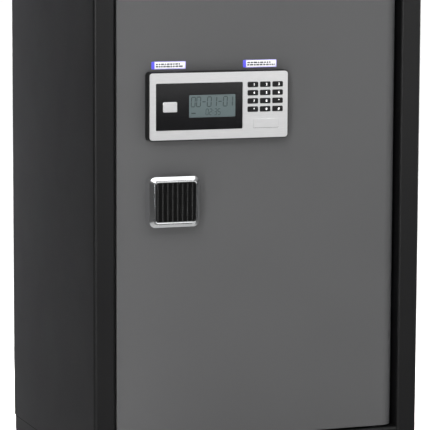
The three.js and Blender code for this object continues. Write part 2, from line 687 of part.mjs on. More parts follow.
// One upright bar that carries the side bolts, with a slotted tab for the cam and a notched arm for the
// solenoid.
function addCarriage() {
  const endClearance = 2;
  const webWidth = 30;
  const webEnd = 15;
  const flangeSheet = 4;
  const flangeBack = 50;
  const tabHalf = 17;
  const left = BOX_LEFT + BOX_WALL + THROW + endClearance;
  const right = left + webWidth;
  const height = [SIDE_BOLT_HEIGHTS.lower - webEnd, SIDE_BOLT_HEIGHTS.upper + webEnd];
  const layer = behind(...CARRIAGE_LAYER);
  const web = block([left, right], layer, height);
  const flange = block([left, left + flangeSheet], behind(CARRIAGE_LAYER[0], flangeBack), height);
  const middlePin = (THROW + FAR_PIN) / 2;
  const tab = block(
    [right - PAST, HANDLE_X + LOW_PIN + webEnd],
    layer,
    [HANDLE_Z + middlePin - tabHalf, HANDLE_Z + middlePin + tabHalf],
  );
  const slot = pinSlot("Z", HANDLE_X + LOW_PIN, HANDLE_Z + middlePin, CARRIAGE_LAYER);
  const armEnd = 11;
  const armWidth = 25;
  const armHeight = [SOLENOID.arm - armWidth, SOLENOID.arm];
  const arm = block([right - PAST, SOLENOID.x + THROW + armEnd], layer, armHeight);
  const notchHalf = 5;
  const notchDepth = 8;
  const notches = [0, THROW].map((shift) =>
    block(
      [SOLENOID.x + shift - notchHalf, SOLENOID.x + shift + notchHalf],
      behind(CARRIAGE_LAYER[0] - PAST, CARRIAGE_LAYER[1] + PAST),
      [SOLENOID.arm - notchDepth, SOLENOID.arm + PAST],
    ),
  );
  add("bolt_carriage", "zincSteel", cut(join(web, flange, tab, arm), slot, ...notches), door);
  const retracted = BOX_LEFT - 10;
  for (const [name, z] of Object.entries(SIDE_BOLT_HEIGHTS)) {
    const bolt = roundBar("X", BOLT_RADIUS, [retracted, left - FIT], [BOLT_Y, z]);
    add("side_bolt_" + name, "bareSteel", bolt, door);
  }
}

// Flat rods that run up and down from the cam to a round bolt at the top and at the bottom of the door.
function addRods() {
  const layer = behind(...ROD_LAYER);
  const middlePin = (THROW + FAR_PIN) / 2;
  const boltLength = 76;
  const past = 11;
  const eye = 14;
  const rodEnd = 35;
  const rodRight = ROD_X + ROD_HALF;
  const upperEyeX = HANDLE_X + middlePin;
  const upperPinZ = HANDLE_Z - LOW_PIN;
  const upper = join(
    block([upperEyeX - eye, rodRight], layer, [upperPinZ - eye, upperPinZ + eye]),
    block([ROD_X - ROD_HALF, rodRight], layer, [upperPinZ, BOX_TOP - rodEnd]),
    roundBar("Z", ROD_BOLT_RADIUS, [BOX_TOP + past - boltLength, BOX_TOP + past], [ROD_X, BOLT_Y]),
  );
  add("top_bolt_rod", "bareSteel", cut(upper, pinSlot("X", upperEyeX, upperPinZ, ROD_LAYER)), door);
  const lowerEyeX = HANDLE_X - middlePin;
  const lowerPinZ = HANDLE_Z + LOW_PIN;
  const jogDrop = 65;
  const jog = HANDLE_Z - jogDrop;
  const lower = join(
    block([lowerEyeX - eye, lowerEyeX + eye], layer, [jog - ROD_HALF, lowerPinZ + eye]),
    block([lowerEyeX - eye, rodRight], layer, [jog - ROD_HALF, jog + ROD_HALF]),
    block([ROD_X - ROD_HALF, rodRight], layer, [BOX_BOTTOM + rodEnd, jog]),
    roundBar("Z", ROD_BOLT_RADIUS, [BOX_BOTTOM - past, BOX_BOTTOM - past + boltLength], [ROD_X, BOLT_Y]),
  );
  add("bottom_bolt_rod", "bareSteel", cut(lower, pinSlot("X", lowerEyeX, lowerPinZ, ROD_LAYER)), door);
}

// ---------- Electric parts behind the door ----------

const SOLENOID = { x: -109, depth: 40, arm: 570, width: 26, height: 40, plunger: 4 };
const BATTERY = { x: 70, z: 600, width: 82, height: 62, depth: 22, cover: 2.2, travel: 55 };
const BATTERY_COVER_HALF = BATTERY.width / 2 + 2;

// The solenoid hangs on the inner cover. Its plunger drops into the arm of the bolt carriage.
function addSolenoid() {
  const { x, depth, arm, width, height, plunger } = SOLENOID;
  const rise = 10;
  const coilCap = 8;
  const plungerTravel = 6;
  const bottom = arm + rise;
  const coil = block(
    [x - width / 2, x + width / 2],
    behind(CARRIAGE_LAYER[0] + PAST, BOX_DEPTH),
    [bottom, bottom + height],
  );
  const centre = [x, DOOR_FACE + depth];
  const bore = roundBar("Z", plunger + RUNNING, [bottom - PAST, bottom + height - coilCap], centre);
  add("solenoid_body", "zincSteel", cut(coil, bore), door);
  const pinTop = bottom + height - coilCap - plungerTravel;
  const pin = roundBar("Z", plunger, [arm + PAST, pinTop], centre);
  add("solenoid_plunger", "bareSteel", pin, door);
}

function addBatteryBay() {
  const { x, z, width, height, depth, cover, travel } = BATTERY;
  const wall = 2;
  const [front, back] = behind(BOX_DEPTH - depth, BOX_DEPTH);
  const box = block([x - width / 2, x + width / 2], [front, back], [z - height / 2, z + height / 2]);
  const hollow = block(
    [x - width / 2 + wall, x + width / 2 - wall],
    [front + wall, back + PAST],
    [z - height / 2 + wall, z + height / 2 - wall],
  );
  add("battery_box", "blackPlastic", cut(box, hollow), door);
  const coverFront = BOX_DEPTH + 2 * FIT + COVER_SHEET;
  const lid = block(
    [x - BATTERY_COVER_HALF, x + BATTERY_COVER_HALF],
    behind(coverFront, coverFront + cover),
    [z - height / 2, z + height / 2],
  );
  add("battery_cover", "blackPlastic", lid, door);
}

addCabinetWalls();
addPlinth();
addDoorStop();
addHingePins();
addLinings();
addShelves();
addBarrelRack();
addDoorSkin();
addBoltBox();
addInnerCover();
addFixedBolts();
addHousing();
addPlate();
addDisplay();
addKeys();
addOverrideLock();
addHandle();
addCam();
addCarriage();
addRods();
addSolenoid();
addBatteryBay();

export default safe;
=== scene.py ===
"""Looks of the gun safe: materials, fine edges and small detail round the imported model. Metres, +Z up."""

import json
import math
import random

import bpy
from mathutils import Euler, Matrix, Vector


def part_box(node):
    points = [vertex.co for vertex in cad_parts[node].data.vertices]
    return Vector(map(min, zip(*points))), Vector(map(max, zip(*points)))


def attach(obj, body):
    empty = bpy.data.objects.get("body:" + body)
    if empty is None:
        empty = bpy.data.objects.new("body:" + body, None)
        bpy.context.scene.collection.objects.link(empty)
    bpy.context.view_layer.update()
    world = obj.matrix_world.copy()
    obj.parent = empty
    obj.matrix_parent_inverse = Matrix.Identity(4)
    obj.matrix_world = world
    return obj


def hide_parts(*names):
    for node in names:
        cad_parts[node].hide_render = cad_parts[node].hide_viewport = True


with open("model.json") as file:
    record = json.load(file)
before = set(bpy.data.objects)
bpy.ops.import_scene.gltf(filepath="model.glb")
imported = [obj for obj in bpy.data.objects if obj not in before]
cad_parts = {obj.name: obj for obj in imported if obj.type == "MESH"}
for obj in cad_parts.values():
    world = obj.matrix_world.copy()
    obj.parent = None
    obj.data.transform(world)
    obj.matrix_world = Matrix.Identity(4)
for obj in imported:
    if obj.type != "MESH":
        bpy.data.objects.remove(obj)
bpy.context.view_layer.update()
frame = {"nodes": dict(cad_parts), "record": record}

MM = 0.001
SEED = 7
WELD_DISTANCE = 0.01 * MM
LEAST_RADIUS = 0.2 * MM
FILM = 0.02 * MM  # how far printed detail and thin film stand off the face behind
random.seed(SEED)

# ---------- Places taken from the frame ----------

DOOR_LOW, DOOR_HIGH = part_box("door_skin")
DOOR_FACE = DOOR_LOW.y
FRAME_LOW, FRAME_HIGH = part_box("left_side_panel")
CABINET_FRONT = FRAME_LOW.y
CABINET_LEFT = FRAME_LOW.x
BODY_BOTTOM = FRAME_LOW.z
PLATE_LOW, PLATE_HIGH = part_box("panel_plate")
PLATE_FRONT = PLATE_LOW.y
HANDLE_LOW, HANDLE_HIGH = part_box("handle_frame")
HANDLE_MIDDLE = (HANDLE_LOW + HANDLE_HIGH) / 2
COVER_LOW, COVER_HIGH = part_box("door_inner_cover")

KEY_LABELS = {name: name for name in "1234567890"} | {"star": "*", "hash": "#"}


# ---------- Camera, light and floor ----------

CAMERA_FROM_LEFT = -1.004
CAMERA_DISTANCE = 3.175
CAMERA_HEIGHT = 0.826
CAMERA_PITCH = 7.268
CAMERA_YAW = 20.343
CAMERA_ROLL = 0.23
CAMERA_LENS = 209.0
SUN_DIRECTION = (-0.22, -0.45, -1)
# The world's brightness against height, from straight down to straight up, as (place, level).
WORLD_STOPS = ((0.0, 0.55), (0.28, 0.45), (0.42, 0.07), (0.55, 0.07), (0.75, 0.25), (1.0, 0.5))

def make_camera():
    camera = bpy.data.objects.new("camera", bpy.data.cameras.new("camera"))
    bpy.context.scene.collection.objects.link(camera)
    camera.location = (
        CABINET_LEFT + CAMERA_FROM_LEFT,
        CABINET_FRONT - CAMERA_DISTANCE,
        CAMERA_HEIGHT,
    )
    turn = Euler((math.radians(90 - CAMERA_PITCH), 0, math.radians(-CAMERA_YAW))).to_matrix()
    roll = Matrix.Rotation(math.radians(CAMERA_ROLL), 3, "Z")
    camera.rotation_euler = (turn @ roll).to_euler()
    camera.data.lens = CAMERA_LENS
    camera.data.sensor_width = 36
    camera.data.clip_start = 0.05
    camera.data.clip_end = 200
    bpy.context.scene.camera = camera


def area_light(name, place, target, size, power, spread=180):
    light = bpy.data.lights.new(name, "AREA")
    light.shape = "RECTANGLE"
    light.size, light.size_y = size
    light.energy = power
    light.spread = math.radians(spread)
    lamp = bpy.data.objects.new(name, light)
    bpy.context.scene.collection.objects.link(lamp)
    lamp.location = place
    lamp.rotation_euler = (Vector(target) - Vector(place)).to_track_quat("-Z", "Y").to_euler()
    lamp.visible_camera = False
    return lamp


def make_lights():
    area_light("key", (-1.2, -2.7, 2.9), (0, -0.1, 0.6), (2.6, 2.2), 17, 80)
    area_light("overhead", (0.5, -0.5, 3.2), (0.4, -0.3, 0), (2.4, 2.0), 14, 150)
    area_light("front_card", (1.3, -2.7, 1.43), (0, -0.2, 1.43), (2.4, 2.2), 23)
    area_light("left_strip", (-1.9, -2.4, 1.2), (-0.1, -0.2, 0.7), (0.4, 2.2), 40)
    side = area_light("side_strip", (-0.5, 0.7, 0.7), (-0.24, 0, 0.65), (0.12, 1.6), 112)
    side.visible_glossy = False
    area_light("right_fill", (2.8, 0.5, 0.9), (0.24, 0, 0.6), (0.5, 1.5), 26)
    sun = bpy.data.lights.new("floor_light", "SUN")
    sun.energy = 2.9
    sun.angle = math.radians(25)
    lamp = bpy.data.objects.new("floor_light", sun)
    bpy.context.scene.collection.objects.link(lamp)
    lamp.rotation_euler = Vector(SUN_DIRECTION).to_track_quat("-Z", "Y").to_euler()
    make_surroundings()
    bpy.context.scene.view_settings.view_transform = "Standard"


def make_surroundings():
    """A studio that is bright overhead, dark at the sides and pale below."""
    world = bpy.data.worlds.new("studio")
    world.use_nodes = True
    nodes, links = world.node_tree.nodes, world.node_tree.links
    background = nodes["Background"]
    coordinates = nodes.new("ShaderNodeTexCoord")
    parts = nodes.new("ShaderNodeSeparateXYZ")
    ramp = nodes.new("ShaderNodeValToRGB")
    height = nodes.new("ShaderNodeMapRange")
    height.inputs["From Min"].default_value = -1
    links.new(coordinates.outputs["Generated"], parts.inputs["Vector"])
    links.new(parts.outputs["Z"], height.inputs["Value"])
    links.new(height.outputs["Result"], ramp.inputs["Fac"])
    links.new(ramp.outputs["Color"], background.inputs["Color"])
    elements = ramp.color_ramp.elements
    while len(elements) < len(WORLD_STOPS):
        elements.new(0.5)
    for element, (place, level) in zip(elements, WORLD_STOPS):
        element.position = place
        element.color = (level, level, level, 1)
    bpy.context.scene.world = world


def stage_piece(name, vertices, faces, material):
    mesh = bpy.data.meshes.new(name)
    mesh.from_pydata(vertices, [], faces)
    mesh.materials.append(material)
    made = bpy.data.objects.new(name, mesh)
    bpy.context.scene.collection.objects.link(made)
    made.visible_glossy = False
    return made


def make_floor():
    """A wide pale floor, with a plain white wall far off all round it."""
    reach, height, sides = 60, 60, 48
    material, shader = new_material("studio_floor")
    shader.inputs["Base Color"].default_value = (0.93, 0.93, 0.93, 1)
    shader.inputs["Roughness"].default_value = 0.9
    shader.inputs["Specular IOR Level"].default_value = 0.1
    corners = [(-reach, -reach, 0), (reach, -reach, 0), (reach, reach, 0), (-reach, reach, 0)]
    stage_piece("floor", corners, [(0, 1, 2, 3)], material)
    white, shader = new_material("studio_wall")
    shader.inputs["Base Color"].default_value = (0, 0, 0, 1)
    shader.inputs["Specular IOR Level"].default_value = 0
    shader.inputs["Emission Color"].default_value = (1, 1, 1, 1)
    shader.inputs["Emission Strength"].default_value = 1
    angles = [2 * math.pi * i / sides for i in range(sides)]
    ring = [(reach * 0.95 * math.cos(a), reach * 0.95 * math.sin(a)) for a in angles]
    vertices = [(x, y, z) for z in (-1, height) for x, y in ring]
    faces = [(i, (i + 1) % sides, sides + (i + 1) % sides, sides + i) for i in range(sides)]
    wall = stage_piece("wall", vertices, faces, white)
    wall.visible_diffuse = False
    wall.visible_shadow = False


# ---------- Materials ----------


def new_material(name):
    material = bpy.data.materials.new(name)
    material.use_nodes = True
    return material, material.node_tree.nodes["Principled BSDF"]


def wire(material, source, target):
    material.node_tree.links.new(source, target)


def noise(material, scale, detail=3.0, stretch=(1, 1, 1), roughness=0.5):
    """Noise in the object's own coordinates, stretched along chosen axes."""
    nodes = material.node_tree.nodes
    coordinates = nodes.new("ShaderNodeTexCoord")
    mapping = nodes.new("ShaderNodeMapping")
    mapping.inputs["Scale"].default_value = stretch
    texture = nodes.new("ShaderNodeTexNoise")
    texture.inputs["Scale"].default_value = scale
    texture.inputs["Detail"].default_value = detail
    texture.inputs["Roughness"].default_value = roughness
    wire(material, coordinates.outputs["Object"], mapping.inputs["Vector"])
    wire(material, mapping.outputs["Vector"], texture.inputs["Vector"])
    return texture.outputs["Fac"]


def spread(material, source, low, high):
    """The middle band of some noise, stretched between two values."""
    node = material.node_tree.nodes.new("ShaderNodeMapRange")
    node.inputs["From Min"].default_value = 0.3
    node.inputs["From Max"].default_value = 0.7
    node.inputs["To Min"].default_value = low
    node.inputs["To Max"].default_value = high
    wire(material, source, node.inputs["Value"])
    return node.outputs["Result"]


def tint(material, source, dark, light):
    """A colour between two, led by a value from 0 to 1."""
    node = material.node_tree.nodes.new("ShaderNodeMix")
    node.data_type = "RGBA"
    node.inputs["A"].default_value = (*dark, 1)
    node.inputs["B"].default_value = (*light, 1)
    wire(material, source, node.inputs["Factor"])
    return node.outputs["Result"]


def bump(material, shader, source, strength, distance):
    node = material.node_tree.nodes.new("ShaderNodeBump")
    node.inputs["Strength"].default_value = strength
    node.inputs["Distance"].default_value = distance
    wire(material, source, node.inputs["Height"])
    wire(material, node.outputs["Normal"], shader.inputs["Normal"])


def shade(colour, factor):
    return tuple(channel * factor for channel in colour)


def powder_coat(name, colour, roughness, specular, grain=0.00006):
    """Baked powder coat: an orange-peel skin, with colour and gloss that drift a little over a sheet."""
    material, shader = new_material(name)
    drift = spread(material, noise(material, 4, 2), 0, 1)
    tone = tint(material, drift, shade(colour, 0.96), shade(colour, 1.04))
    wire(material, tone, shader.inputs["Base Color"])
    gloss = spread(material, noise(material, 9, 3), roughness - 0.03, roughness + 0.03)
    wire(material, gloss, shader.inputs["Roughness"])
    shader.inputs["Specular IOR Level"].default_value = specular
    bump(material, shader, noise(material, 650, 4, roughness=0.6), 0.35, grain)
    return material


def plain_metal(name, colour, roughness, stretch=(1, 1, 1), scale=300, wear=0.05):
    """Metal with machining or rubbing marks that run along one axis."""
    material, shader = new_material(name)
    marks = noise(material, scale, 4, stretch)
    level = spread(material, marks, 0, 1)
    wire(material, tint(material, level, shade(colour, 0.9), shade(colour, 1.0)), shader.inputs["Base Color"])
    shader.inputs["Metallic"].default_value = 1
    wire(material, spread(material, marks, roughness - wear, roughness + wear), shader.inputs["Roughness"])
    bump(material, shader, marks, 0.15, 0.00003)
    return material


def plastic(name, colour, roughness, grain=0.00004, specular=0.5):
    material, shader = new_material(name)
    drift = spread(material, noise(material, 60, 2), 0, 1)
    tone = tint(material, drift, shade(colour, 0.85), shade(colour, 1.1))
    wire(material, tone, shader.inputs["Base Color"])
    gloss = spread(material, noise(material, 500, 2), roughness - 0.03, roughness + 0.03)
    wire(material, gloss, shader.inputs["Roughness"])
    shader.inputs["Specular IOR Level"].default_value = specular
    bump(material, shader, noise(material, 1800, 2), 0.2, grain)
    return material


def display_material():
    """A grey-green liquid crystal under glass, with a slight drift in tone."""
    material, shader = new_material("liquid_crystal")
    drift = spread(material, noise(material, 25, 2), 0, 1)
    colour = tint(material, drift, (0.055, 0.077, 0.08), (0.067, 0.093, 0.096))
    wire(material, colour, shader.inputs["Base Color"])
    wire(material, spread(material, noise(material, 700, 2), 0.32, 0.4), shader.inputs["Roughness"])
    shader.inputs["Coat Weight"].default_value = 0.6
    shader.inputs["Coat Roughness"].default_value = 0.06
    return material


def carpet_material():
    """Short needled pile, flecked light and dark."""
    material, shader = new_material("needled_carpet")
    fibres = noise(material, 1100, 5, roughness=0.75)
    level = spread(material, fibres, 0, 1)
    colour = tint(material, level, (0.022, 0.023, 0.026), (0.075, 0.078, 0.086))
    wire(material, colour, shader.inputs["Base Color"])
    shader.inputs["Roughness"].default_value = 0.95
    shader.inputs["Sheen Weight"].default_value = 0.4
    bump(material, shader, fibres, 0.9, 0.0009)
    return material


def make_materials():
    cabinet = (0.0046, 0.0046, 0.0049)
    return {
        "cabinet_paint": powder_coat("charcoal_powder_coat", cabinet, 0.42, 0.3),
        "door_paint": powder_coat("grey_powder_coat", (0.0655, 0.0657, 0.0668), 0.5, 0.2),
        "bare_steel": plain_metal("ground_steel", (0.55, 0.56, 0.57), 0.3, (1, 1, 8)),
        "zinc_steel": plain_metal("zinc_plate", (0.62, 0.6, 0.5), 0.36),
        "chrome": plain_metal("chrome_plate", (0.86, 0.87, 0.88), 0.12, wear=0.03),
        "silver_plate": plain_metal("satin_silver", (0.93, 0.93, 0.935), 0.42, (1, 1, 40), 60),
        "black_plastic": plastic("black_plastic", (0.006, 0.006, 0.0064), 0.42, specular=0.25),
        "gloss_black": plastic("gloss_black", (0.004, 0.004, 0.0045), 0.1, 0.00001, 0.36),
        "display_glass": display_material(),
        "circuit_green": plastic("solder_mask", (0.012, 0.09, 0.035), 0.35),
        "carpet": carpet_material(),
        "brass": plain_metal("turned_brass", (0.72, 0.5, 0.2), 0.28, (1, 8, 1)),
    }


def make_small_materials():
    return {
        "paper": plastic("label_paper", (0.86, 0.86, 0.88), 0.5),
        "violet": plastic("label_violet", (0.5, 0.46, 0.95), 0.45),
        "blue_tab": plastic("label_tab", (0.09, 0.08, 0.72), 0.45),
        "ink": plastic("label_ink", (0.06, 0.06, 0.07), 0.6),
        "digit": plastic("white_print", (0.9, 0.9, 0.9), 0.5),
        "segment": plastic("dark_segment", (0.022, 0.032, 0.032), 0.5, specular=0.2),
        # Painted shadow: a near-black used only for the strips that stand in for shade at the plinth seam and
        # round the blank cover.
        "painted_shadow": plastic("painted_shadow_black", (0.003, 0.003, 0.003), 0.8, specular=0.1),
        "grip": plastic("grip_black", (0.002, 0.002, 0.002), 0.2, specular=0.22),
        "wrap": plastic("battery_wrap", (0.06, 0.065, 0.075), 0.25),
    }


# ---------- Mesh helpers ----------


def piece(name, vertices, faces, material, body, slot=None):
    mesh = bpy.data.meshes.new(name)
    mesh.from_pydata([tuple(v) for v in vertices], [], faces)
    mesh.update()
    made = bpy.data.objects.new(name, mesh)
    bpy.context.scene.collection.objects.link(made)
    mesh.materials.append(material)
    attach(made, body)
    return made


def rounded_outline(width, height, radius, steps=6):
    """Points of a rectangle with round corners, anticlockwise as seen from the front."""
    points = []
    for quarter, (sign_x, sign_z) in enumerate([(1, 1), (-1, 1), (-1, -1), (1, -1)]):
        centre_x = sign_x * (width / 2 - radius)
        centre_z = sign_z * (height / 2 - radius)
        for step in range(steps + 1):
            angle = (quarter + step / steps) * math.pi / 2
            points.append((centre_x + radius * math.cos(angle), centre_z + radius * math.sin(angle)))
    return points


def loft(rings, open_ends=False):
    """Vertices and faces of a skin over rings of points, which run from the back to the front."""
    count = len(rings[0])
    vertices = [point for ring in rings for point in ring]
    faces = []
    for level in range(len(rings) - 1):
        for i in range(count):
            j = (i + 1) % count
            a, b = level * count, (level + 1) * count
            faces.append((a + i, a + j, b + j, b + i))
    if not open_ends:
        last = (len(rings) - 1) * count
        faces.append(tuple(reversed(range(count))))
        faces.append(tuple(range(last, last + count)))
    return vertices, faces


def slab(centre, sections, steps=6):
    """A block facing -Y. Each section is (Y, width, height, corner radius), from back to front."""
    rings = []
    for y, width, height, radius in sections:
        outline = rounded_outline(width, height, radius, steps)
        rings.append([(centre[0] + x, y, centre[1] + z) for x, z in outline])
    return loft(rings)


def soft_slab(centre, back, front, width, height, radius, edge):
    """A slab whose front edge is rounded off in three steps."""
    turns = [0, math.pi / 6, math.pi / 3, math.pi / 2]
    sections = [(back, width, height, radius)]
    for turn in turns:
        inset = edge * (1 - math.cos(turn))
        y = front + edge * (1 - math.sin(turn))
        sections.append((y, width - 2 * inset, height - 2 * inset, max(radius - inset, LEAST_RADIUS)))
    return slab(centre, sections)


def turned(profile, centre, axis, sides=32):
    """A turned solid. The profile is (distance along the axis, radius), and axis is "X", "Y" or "Z"."""
    rings = []
    for along, radius in profile:
        ring = []
        for step in range(sides):
            angle = 2 * math.pi * step / sides
            a, b = radius * math.cos(angle), radius * math.sin(angle)
            offset = {"X": (along, a, b), "Y": (b, along, a), "Z": (a, b, along)}[axis]
            ring.append(tuple(c + o for c, o in zip(centre, offset)))
        rings.append(ring)
    return loft(rings)


def joined(parts):
    """Several (vertices, faces) pairs as one."""
    vertices, faces = [], []
    for some_vertices, some_faces in parts:
        start = len(vertices)
        vertices += list(some_vertices)
        faces += [tuple(start + i for i in face) for face in some_faces]
    return vertices, faces


def bar(low, high):
    """A plain box between two corners, used only inside larger pieces."""
    x, y, z = zip(low, high)
    vertices = [(x[i], y[j], z[k]) for i in (0, 1) for j in (0, 1) for k in (0, 1)]
    faces = [(0, 1, 3, 2), (4, 6, 7, 5), (0, 4, 5, 1), (2, 3, 7, 6), (0, 2, 6, 4), (1, 5, 7, 3)]
    return vertices, faces


def soften(target, width, segments=2, angle=30):
    """Rounds the sharp edges and evens the normals, so that flat faces stay flat."""
    for polygon in target.data.polygons:
        polygon.use_smooth = True
    weld = target.modifiers.new("weld", "WELD")
    weld.merge_threshold = WELD_DISTANCE
    planes = target.modifiers.new("planes", "DECIMATE")
    planes.decimate_type = "DISSOLVE"
    planes.angle_limit = math.radians(0.5)
    if width:
        edge = target.modifiers.new("edge", "BEVEL")
        edge.width = width
        edge.segments = segments
        edge.limit_method = "ANGLE"
        edge.angle_limit = math.radians(angle)
    normals = target.modifiers.new("normals", "WEIGHTED_NORMAL")
    normals.weight = 100
    return target


# ---------- Carried-over nodes ----------

# Millimetres of rounding, by material slot and for the nodes with wider bends.
EDGE_WIDTHS = {
    "cabinet_paint": 0.5,
    "door_paint": 0.7,
    "bare_steel": 0.8,
    "zinc_steel": 0.4,
    "chrome": 0.4,
    "silver_plate": 0.35,
    "black_plastic": 0.5,
    "gloss_black": 0.25,
    "display_glass": 0.1,
    "circuit_green": 0.1,
    "carpet": 0.8,
    "brass": 0.3,
}
WIDER_EDGES = {"left_side_panel": 1.2, "right_side_panel": 1.2, "plinth_frame": 1.2}


def dress_nodes(materials):
    slots = {part["node"]: part["material_slot"] for part in frame["record"]["subparts"]}
    for name, node in frame["nodes"].items():
        slot = slots[name]
        node.data.materials.clear()
        node.data.materials.append(materials[slot])
        soften(node, WIDER_EDGES.get(name, EDGE_WIDTHS[slot]) * MM)


# ---------- Lock panel ----------


def middle_of(node):
    low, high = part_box(node)
    return (low + high) / 2, high - low, low.y, high.y


def make_keys(materials, small):
    """Keycaps with a rounded crown, each with its digit printed right of the middle."""
    for label, text in KEY_LABELS.items():
        middle, size, front, back = middle_of("key_" + label)
        centre = (middle.x, middle.z)
        cap = piece(
            "keycap_" + label,
            *soft_slab(centre, back, front, size.x, size.z, 1.2 * MM, 0.7 * MM),
            materials["black_plastic"],
            "button_" + label,
            "black_plastic",
        )
        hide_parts("key_" + label)
        soften(cap, 0)
        make_digit(label, text, middle, front, small)


def make_digit(label, text, middle, front, small):
    curve = bpy.data.curves.new("digit_" + label, "FONT")
    curve.body = text
    curve.size = 4.6 * MM
    curve.align_x = "CENTER"
    curve.align_y = "CENTER"
    curve.extrude = 0.04 * MM
    curve.offset = 0.14 * MM
    digit = bpy.data.objects.new("digit_" + label, curve)
    bpy.context.scene.collection.objects.link(digit)
    curve.materials.append(small["digit"])
    digit.location = (middle.x + 1.3 * MM, front - 0.03 * MM, middle.z)
    digit.rotation_euler = (math.pi / 2, 0, 0)
    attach(digit, "button_" + label)


# Which of the seven strokes each character of the display shows: top, upper right, lower right, bottom,
# lower left, upper left and middle.
STROKES = {
    "0": "abcdef",
    "1": "bc",
    "2": "abged",
    "3": "abgcd",
    "5": "afgcd",
    "-": "g",
}


def stroke(letter, height):
    """The two ends of one stroke of a character with its foot at the origin, as (x, z)."""
    width = height * 0.42
    half = height / 2
    ends = {
        "a": ((0, height), (width, height)),
        "b": ((width, half), (width, height)),
        "c": ((width, 0), (width, half)),
        "d": ((0, 0), (width, 0)),
        "e": ((0, 0), (0, half)),
        "f": ((0, half), (0, height)),
        "g": ((0, half), (width, half)),
    }
    return ends[letter]


def stroke_mesh(start, end, thick, y, lift):
    """One stroke: a thin bar with pointed ends, standing just clear of the display."""
    start, end = Vector(start), Vector(end)
    along = (end - start).normalized()
    across = Vector((-along.y, along.x)) * thick / 2
    a = start + along * thick * 0.15
    b = end - along * thick * 0.15
    tip = along * thick / 2
    outline = [a, a + tip + across, b - tip + across, b, b - tip - across, a + tip - across]
    rings = [[(p.x, y, p.y) for p in outline], [(p.x, y - lift, p.y) for p in outline]]
    return loft(rings)


def character_parts(text, left, foot, height, pitch, thick, y):
    parts = []
    x = left
    for character in text:
        if character == ":":
            for share in (0.3, 0.7):
                low = (x, y - 0.05 * MM, foot + height * share - thick / 2)
                parts.append(bar(low, (x + thick, y, foot + height * share + thick / 2)))
            x += pitch * 0.45
            continue
        for letter in STROKES[character]:
            (x0, z0), (x1, z1) = stroke(letter, height)
            slant = 0.06
            start = (x + x0 + z0 * slant, foot + z0)
            end = (x + x1 + z1 * slant, foot + z1)
            parts.append(stroke_mesh(start, end, thick, y, 0.05 * MM))
        x += pitch
    return parts


def make_display(materials, small):
    middle, size, front, _ = middle_of("lcd_module")
    left, bottom = middle.x - size.x / 2, middle.z - size.z / 2
    face = front - FILM
    large_foot, clock_foot = bottom + 14.6 * MM, bottom + 3.2 * MM
    large = character_parts("00-01-01", left + 2.8 * MM, large_foot, 13 * MM, 7.7 * MM, 1.2 * MM, face)
    clock = character_parts("02:35", left + 24 * MM, clock_foot, 8 * MM, 5 * MM, 0.8 * MM, face)
    mark_low = (left + 3.2 * MM, face - 0.05 * MM, bottom + 5 * MM)
    mark = [bar(mark_low, (left + 9.4 * MM, face, bottom + 6.6 * MM))]
    piece("display_segments", *joined(large + clock + mark), small["segment"], "door", "display_glass")


def make_enter_button(materials):
    middle, size, front, back = middle_of("enter_button")
    centre = (middle.x, middle.z)
    cap = piece(
        "enter_cap",
        *soft_slab(centre, back, front, size.x, size.z, 1.6 * MM, 0.9 * MM),
        materials["silver_plate"],
        "enter",
        "silver_plate",
    )
    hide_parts("enter_button")
    soften(cap, 0)


def make_labels(small):
    """Two small labels over the lock panel, with dark bars in place of words."""
    width, height = 49 * MM, 10.2 * MM
    tab = 4.4 * MM
    film = 0.06 * MM
    for name, x in (("left", 106.6 * MM), ("right", 238.6 * MM)):
        centre = (CABINET_LEFT + x, PLATE_HIGH.z + 9.6 * MM)
        base = DOOR_FACE - FILM
        layers = [base - film * level for level in range(5)]
        border = slab(centre, [(layers[0], width, height, 1 * MM), (layers[1], width, height, 1 * MM)])
        piece("label_border_" + name, *border, small["violet"], "door")
        end = (centre[0] - width / 2 + tab / 2, centre[1])
        end_slab = slab(end, [(layers[1], tab, height, 1 * MM), (layers[2], tab, height, 1 * MM)])
        piece("label_tab_" + name, *end_slab, small["blue_tab"], "door")
        field = (centre[0] + tab / 2 - 0.3 * MM, centre[1])
        size = (width - tab - 1.8 * MM, height - 1.8 * MM)
        paper = slab(field, [(layers[1], *size, 0.8 * MM), (layers[3], *size, 0.8 * MM)])
        piece("label_paper_" + name, *paper, small["paper"], "door")
        rows = []
        left, right = field[0] - size[0] / 2 + 1.2 * MM, field[0] + size[0] / 2 - 1.5 * MM
        for z, end_x in ((field[1] + 0.5 * MM, right - 4 * MM), (field[1] - 2.6 * MM, right)):
            x = left
            while x < end_x - 1.5 * MM:
                stop = min(x + random.uniform(2.0, 5.5) * MM, end_x)
                rows.append(bar((x, layers[4], z), (stop, layers[3], z + 2.1 * MM)))
                x = stop + 0.9 * MM
        piece("label_bars_" + name, *joined(rows), small["ink"], "door")


# ---------- Handle ----------


